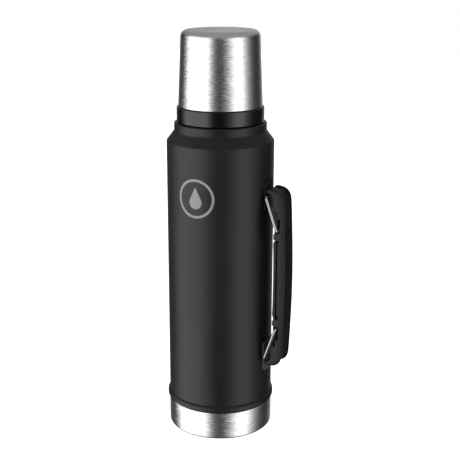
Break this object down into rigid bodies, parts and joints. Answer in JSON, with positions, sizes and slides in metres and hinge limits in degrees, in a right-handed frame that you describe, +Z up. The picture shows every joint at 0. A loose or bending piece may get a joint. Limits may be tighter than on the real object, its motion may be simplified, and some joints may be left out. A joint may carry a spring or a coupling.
{
  "type": "vacuum bottle",
  "caption": "Tall insulated steel bottle with a screw stopper, a cup lid and a fold-out side handle on wire bails.",
  "frame": {"origin": "centre of the base underside, on the bottle's axis", "axes": "+Z up along the bottle's axis, +X from the axis towards the side handle"},
  "size_m": [0.1176, 0.098, 0.362],
  "materials": {
    "outer_shell": "matte black powder coat",
    "base_cup": "circular brushed stainless steel",
    "vacuum_bottom": "pressed stainless sheet, hidden",
    "vacuum_seal": "sealing bead, hidden",
    "inner_flask": "plain drawn stainless steel",
    "flask_bottom": "plain pressed stainless steel",
    "getter": "sintered metal ring, hidden",
    "getter_clip": "bent sheet strap, hidden",
    "upper_bracket": "black paint over steel",
    "lower_bracket": "dark grey-green paint over steel",
    "upper_bail": "bright steel wire",
    "lower_bail": "bright steel wire",
    "grip_frame": "fine grained black plastic",
    "grip_overmould": "soft matte black rubber",
    "grip_inner_strip": "satin black plastic",
    "stopper_body": "satin black plastic",
    "stopper_cap": "satin black plastic, fluted edge",
    "stopper_core": "pale insulating foam, hidden",
    "stopper_seal": "grey silicone",
    "cup_shell": "circular brushed stainless steel",
    "cup_liner": "gloss black plastic",
    "cup_insulation": "pale insulating foam, hidden"
  },
  "bodies": {
    "bottle": {"outer_shell": "outer_shell", "base_cup": "base_cup", "vacuum_bottom": "vacuum_bottom", "vacuum_seal": "vacuum_seal", "inner_flask": "inner_flask", "flask_bottom": "flask_bottom", "getter": "getter", "getter_clip": "getter_clip", "upper_bracket": "upper_bracket", "lower_bracket": "lower_bracket"},
    "grip": {"grip_frame": "grip_frame", "grip_overmould": "grip_overmould", "grip_inner_strip": "grip_inner_strip"},
    "upper_bail": {"upper_bail": "upper_bail"},
    "lower_bail": {"lower_bail": "lower_bail"},
    "stopper_ring": {"stopper_seal": "stopper_seal"},
    "stopper": {"stopper_body": "stopper_body", "stopper_cap": "stopper_cap", "stopper_core": "stopper_core"},
    "cup_core": {"cup_insulation": "cup_insulation"},
    "cup": {"cup_shell": "cup_shell", "cup_liner": "cup_liner"}
  },
  "joints": [
    {"name": "grip_slide", "type": "slide", "parent": "bottle", "child": "grip", "axis": [1, 0, 0], "range_m": [0, 0.014]},
    {"name": "upper_bail_fold", "type": "hinge", "parent": "bottle", "child": "upper_bail", "pos_m": [0.0495, 0, 0.2236], "axis": [0, -1, 0], "range_deg": [0, 29.3]},
    {"name": "lower_bail_fold", "type": "hinge", "parent": "bottle", "child": "lower_bail", "pos_m": [0.0495, 0, 0.0724], "axis": [0, 1, 0], "range_deg": [0, 29.3]},
    {"name": "stopper_lift", "type": "slide", "parent": "bottle", "child": "stopper_ring", "axis": [0, 0, 1], "range_m": [0, 0.0301]},
    {"name": "stopper_turn", "type": "hinge", "parent": "stopper_ring", "child": "stopper", "pos_m": [0, 0, 0.2854], "axis": [0, 0, 1], "range_deg": [0, 900]},
    {"name": "cup_lift", "type": "slide", "parent": "bottle", "child": "cup_core", "axis": [0, 0, 1], "range_m": [0, 0.0481]},
    {"name": "cup_turn", "type": "hinge", "parent": "cup_core", "child": "cup", "pos_m": [0, 0, 0.2904], "axis": [0, 0, 1], "range_deg": [0, 1440]}
  ],
  "couplings": [
    {"joint": "upper_bail_fold", "follows": "grip_slide", "rad_per_m": 36.52},
    {"joint": "lower_bail_fold", "follows": "grip_slide", "rad_per_m": 36.52},
    {"joint": "stopper_lift", "follows": "stopper_turn", "m_per_rad": 0.0019099},
    {"joint": "cup_lift", "follows": "cup_turn", "m_per_rad": 0.0019099}
  ]
}
